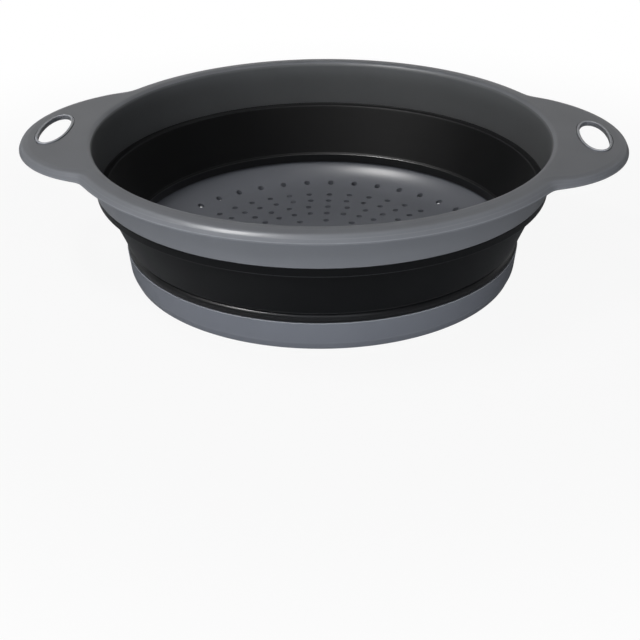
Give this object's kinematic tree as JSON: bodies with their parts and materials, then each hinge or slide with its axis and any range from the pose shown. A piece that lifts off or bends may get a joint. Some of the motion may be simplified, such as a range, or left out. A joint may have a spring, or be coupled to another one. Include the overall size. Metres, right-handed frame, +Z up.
{
  "type": "collapsible colander",
  "caption": "Round colander with a rigid rim and two loop handles, a soft folding wall and a perforated base; the rim presses down flat over the base.",
  "frame": {"origin": "centre of the foot, on the surface the colander stands on", "axes": "+X through the middle of both handles, +Y across the mouth, +Z up out of the mouth"},
  "size_m": [0.376, 0.3106, 0.0865],
  "materials": {
    "rim_plastic": "satin grey",
    "soft_wall": "soft matte black",
    "base_plastic": "satin grey"
  },
  "bodies": {
    "base": {"base_cup": "base_plastic", "lower_fold": "soft_wall"},
    "band": {"middle_band": "soft_wall"},
    "rim": {"rim_frame": "rim_plastic", "upper_fold": "soft_wall"}
  },
  "joints": [
    {"name": "rim_slide", "type": "slide", "parent": "base", "child": "rim", "axis": [0, 0, -1], "range_m": [0, 0.054], "deforming": ["upper_fold"]},
    {"name": "band_slide", "type": "slide", "parent": "base", "child": "band", "axis": [0, 0, -1], "range_m": [0, 0.0224], "deforming": ["lower_fold"]}
  ],
  "couplings": [
    {"joint": "band_slide", "follows": "rim_slide", "ratio": 0.413}
  ]
}
